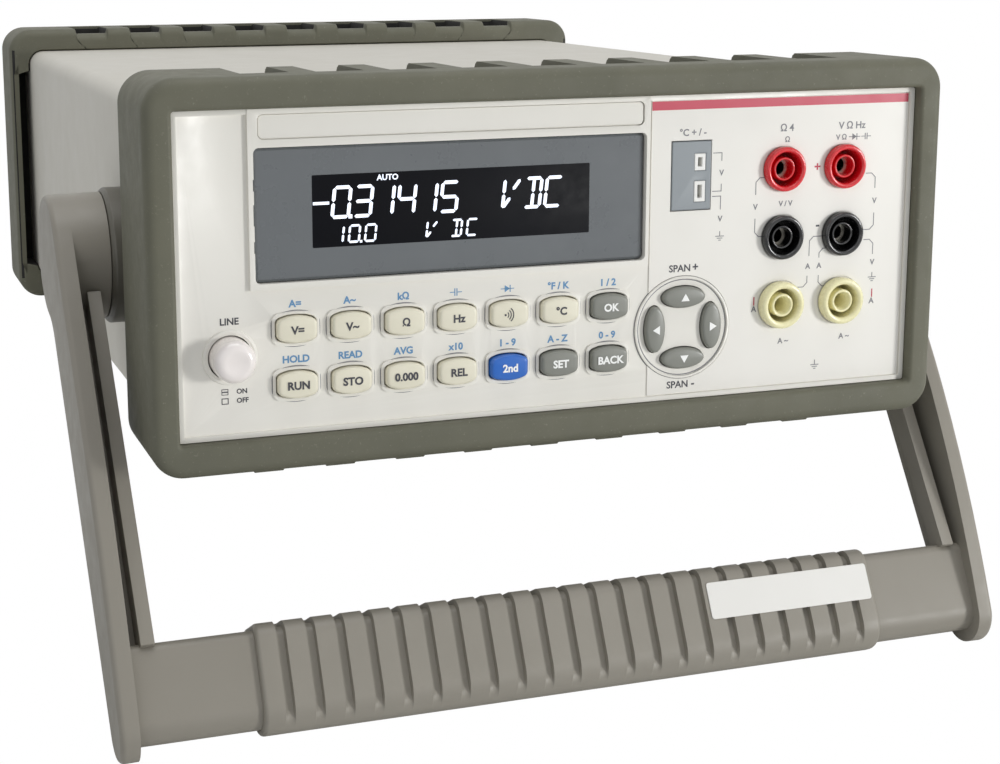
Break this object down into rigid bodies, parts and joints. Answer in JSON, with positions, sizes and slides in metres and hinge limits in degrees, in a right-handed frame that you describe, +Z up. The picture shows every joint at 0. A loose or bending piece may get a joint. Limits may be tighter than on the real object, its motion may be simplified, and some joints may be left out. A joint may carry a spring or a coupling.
{
  "type": "bench multimeter",
  "caption": "Bench multimeter with display, keys and input sockets, in a bumpered case on a swinging carrying handle.",
  "frame": {"origin": "on the bench, below the middle of the object's box, in the propped-up stance", "axes": "+X to the instrument's right as the user faces it, +Y towards its rear, +Z up"},
  "size_m": [0.259, 0.3434, 0.164],
  "materials": {
    "bumper_rubber": "matte moulded rubber, olive grey",
    "handle_plastic": "fine-grained moulded plastic, taupe",
    "grip_rubber": "soft moulded grip, taupe",
    "label_film": "white paper-faced label, bare",
    "case_paint": "fine textured paint, warm light grey",
    "boss_plastic": "moulded plastic, dark grey",
    "panel_plastic": "fine-grained moulded plastic, off-white",
    "overlay_film": "satin printed film, off-white",
    "lens_acrylic": "polished tinted window",
    "module_black": "black display and moulded parts",
    "board_green": "solder-masked circuit board",
    "mat_rubber": "silicone keypad mat",
    "key_cream": "satin moulded keys, cream",
    "key_grey": "satin moulded keys, grey",
    "key_blue": "satin moulded key, blue",
    "knob_white": "glossy white button",
    "jack_red": "glossy moulded socket, red",
    "jack_black": "glossy moulded socket, black",
    "jack_cream": "glossy moulded holder, cream",
    "contact_nickel": "nickel-plated brass",
    "thermo_grey": "satin moulded plastic, cool grey",
    "thermo_white": "white moulded inserts",
    "fuse_ceramic": "ceramic tube fuses",
    "inlet_black": "black moulded plastic",
    "rear_paint": "painted sheet metal",
    "tray_steel": "plated sheet steel",
    "screw_steel": "plated steel",
    "core_iron": "varnished laminations and tape"
  },
  "bodies": {
    "instrument": {"case_sleeve": "case_paint", "chassis_tray": "tray_steel", "front_bumper": "bumper_rubber", "rear_bumper": "bumper_rubber", "front_panel": "panel_plastic", "terminal_overlay": "overlay_film", "nameplate": "panel_plastic", "display_lens": "lens_acrylic", "display_module": "module_black", "keypad_mat": "mat_rubber", "front_board": "board_green", "power_switch": "module_black", "red_jacks": "jack_red", "black_jacks": "jack_black", "jack_contacts": "contact_nickel", "holder_shells": "module_black", "thermocouple_socket": "thermo_grey", "thermocouple_contacts": "thermo_white", "pivot_bosses": "boss_plastic", "pivot_pins": "screw_steel", "main_board": "board_green", "board_standoffs": "tray_steel", "transformer": "core_iron", "input_shield": "tray_steel", "rear_panel": "rear_paint", "mains_inlet": "inlet_black", "inlet_pins": "contact_nickel", "usb_port": "contact_nickel", "bnc_sockets": "contact_nickel", "option_cover": "rear_paint", "ground_terminal": "contact_nickel", "fixing_screws": "screw_steel"},
    "handle": {"carrying_handle": "handle_plastic", "grip_sleeve": "grip_rubber", "grip_label": "label_film"},
    "key_volts_dc": {"key_volts_dc": "key_cream"},
    "key_volts_ac": {"key_volts_ac": "key_cream"},
    "key_ohms": {"key_ohms": "key_cream"},
    "key_frequency": {"key_frequency": "key_cream"},
    "key_continuity": {"key_continuity": "key_cream"},
    "key_temperature": {"key_temperature": "key_cream"},
    "key_enter": {"key_enter": "key_grey"},
    "key_trigger": {"key_trigger": "key_cream"},
    "key_store": {"key_store": "key_cream"},
    "key_digits": {"key_digits": "key_cream"},
    "key_null": {"key_null": "key_cream"},
    "key_shift": {"key_shift": "key_blue"},
    "key_setup": {"key_setup": "key_grey"},
    "key_escape": {"key_escape": "key_grey"},
    "arrow_up": {"arrow_up": "key_grey"},
    "arrow_down": {"arrow_down": "key_grey"},
    "arrow_left": {"arrow_left": "key_grey"},
    "arrow_right": {"arrow_right": "key_grey"},
    "power_button": {"power_button": "knob_white"},
    "fuse_drawer": {"fuse_drawer": "inlet_black", "line_fuse": "fuse_ceramic"},
    "fuse_holder_left": {"fuse_holder_left": "jack_cream", "meter_fuse_left": "fuse_ceramic"},
    "fuse_holder_right": {"fuse_holder_right": "jack_cream", "meter_fuse_right": "fuse_ceramic"}
  },
  "joints": [
    {"name": "handle_swing", "type": "hinge", "parent": "instrument", "child": "handle", "pos_m": [0, -0.06759, 0.09889], "axis": [1, 0, 0], "range_deg": [-195, 92]},
    {"name": "press_volts_dc", "type": "slide", "parent": "instrument", "child": "key_volts_dc", "axis": [0, 0.9791, -0.2033], "range_m": [0, 0.0008], "stiffness_N_per_m": 1500},
    {"name": "press_volts_ac", "type": "slide", "parent": "instrument", "child": "key_volts_ac", "axis": [0, 0.9791, -0.2033], "range_m": [0, 0.0008], "stiffness_N_per_m": 1500},
    {"name": "press_ohms", "type": "slide", "parent": "instrument", "child": "key_ohms", "axis": [0, 0.9791, -0.2033], "range_m": [0, 0.0008], "stiffness_N_per_m": 1500},
    {"name": "press_frequency", "type": "slide", "parent": "instrument", "child": "key_frequency", "axis": [0, 0.9791, -0.2033], "range_m": [0, 0.0008], "stiffness_N_per_m": 1500},
    {"name": "press_continuity", "type": "slide", "parent": "instrument", "child": "key_continuity", "axis": [0, 0.9791, -0.2033], "range_m": [0, 0.0008], "stiffness_N_per_m": 1500},
    {"name": "press_temperature", "type": "slide", "parent": "instrument", "child": "key_temperature", "axis": [0, 0.9791, -0.2033], "range_m": [0, 0.0008], "stiffness_N_per_m": 1500},
    {"name": "press_enter", "type": "slide", "parent": "instrument", "child": "key_enter", "axis": [0, 0.9791, -0.2033], "range_m": [0, 0.0008], "stiffness_N_per_m": 1500},
    {"name": "press_trigger", "type": "slide", "parent": "instrument", "child": "key_trigger", "axis": [0, 0.9791, -0.2033], "range_m": [0, 0.0008], "stiffness_N_per_m": 1500},
    {"name": "press_store", "type": "slide", "parent": "instrument", "child": "key_store", "axis": [0, 0.9791, -0.2033], "range_m": [0, 0.0008], "stiffness_N_per_m": 1500},
    {"name": "press_digits", "type": "slide", "parent": "instrument", "child": "key_digits", "axis": [0, 0.9791, -0.2033], "range_m": [0, 0.0008], "stiffness_N_per_m": 1500},
    {"name": "press_null", "type": "slide", "parent": "instrument", "child": "key_null", "axis": [0, 0.9791, -0.2033], "range_m": [0, 0.0008], "stiffness_N_per_m": 1500},
    {"name": "press_shift", "type": "slide", "parent": "instrument", "child": "key_shift", "axis": [0, 0.9791, -0.2033], "range_m": [0, 0.0008], "stiffness_N_per_m": 1500},
    {"name": "press_setup", "type": "slide", "parent": "instrument", "child": "key_setup", "axis": [0, 0.9791, -0.2033], "range_m": [0, 0.0008], "stiffness_N_per_m": 1500},
    {"name": "press_escape", "type": "slide", "parent": "instrument", "child": "key_escape", "axis": [0, 0.9791, -0.2033], "range_m": [0, 0.0008], "stiffness_N_per_m": 1500},
    {"name": "press_arrow_up", "type": "slide", "parent": "instrument", "child": "arrow_up", "axis": [0, 0.9791, -0.2033], "range_m": [0, 0.0008], "stiffness_N_per_m": 1500},
    {"name": "press_arrow_down", "type": "slide", "parent": "instrument", "child": "arrow_down", "axis": [0, 0.9791, -0.2033], "range_m": [0, 0.0008], "stiffness_N_per_m": 1500},
    {"name": "press_arrow_left", "type": "slide", "parent": "instrument", "child": "arrow_left", "axis": [0, 0.9791, -0.2033], "range_m": [0, 0.0008], "stiffness_N_per_m": 1500},
    {"name": "press_arrow_right", "type": "slide", "parent": "instrument", "child": "arrow_right", "axis": [0, 0.9791, -0.2033], "range_m": [0, 0.0008], "stiffness_N_per_m": 1500},
    {"name": "power_push", "type": "slide", "parent": "instrument", "child": "power_button", "axis": [0, 0.9791, -0.2033], "range_m": [-0.003, 0.001]},
    {"name": "drawer_pull", "type": "slide", "parent": "instrument", "child": "fuse_drawer", "axis": [0, 0.9791, -0.2033], "range_m": [0, 0.016]},
    {"name": "holder_turn_left", "type": "hinge", "parent": "instrument", "child": "fuse_holder_left", "pos_m": [0.06505, -0.13153, 0.09742], "axis": [0, 0.9791, -0.2033], "range_deg": [0, 45]},
    {"name": "holder_turn_right", "type": "hinge", "parent": "instrument", "child": "fuse_holder_right", "pos_m": [0.0841, -0.13153, 0.09742], "axis": [0, 0.9791, -0.2033], "range_deg": [0, 45]}
  ]
}
